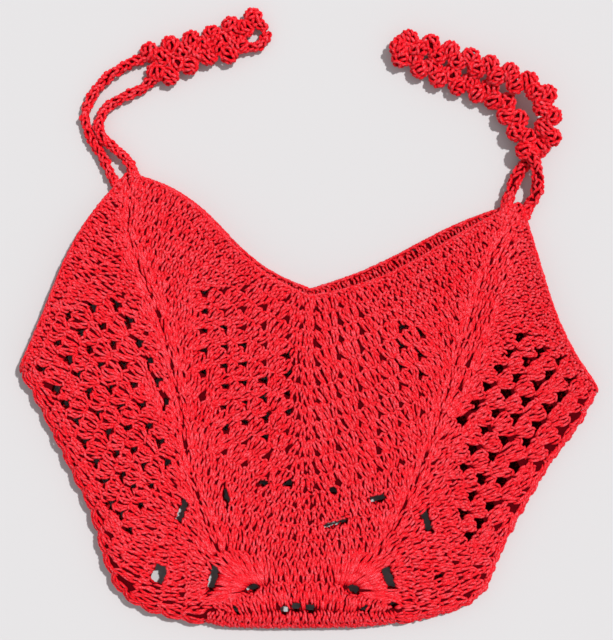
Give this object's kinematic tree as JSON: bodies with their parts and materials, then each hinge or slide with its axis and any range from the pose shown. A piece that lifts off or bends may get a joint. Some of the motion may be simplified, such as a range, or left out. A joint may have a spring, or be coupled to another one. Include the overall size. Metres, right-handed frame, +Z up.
{
  "type": "mesh market bag",
  "caption": "Crocheted cotton market bag with an open mesh body, a wide dipping mouth and bobbled loop handles, lying flat.",
  "frame": {"origin": "on the surface that the bag lies on, under the middle of its box", "axes": "+X across the bag from its left side to its right side, +Y from its base to its handles, +Z up from the surface"},
  "size_m": [0.404, 0.4358, 0.0225],
  "materials": {
    "yarn": "plied matte cotton yarn, crocheted"
  },
  "bodies": {
    "root": {"bag": "yarn", "left_handle": "yarn", "right_handle": "yarn"}
  },
  "joints": []
}
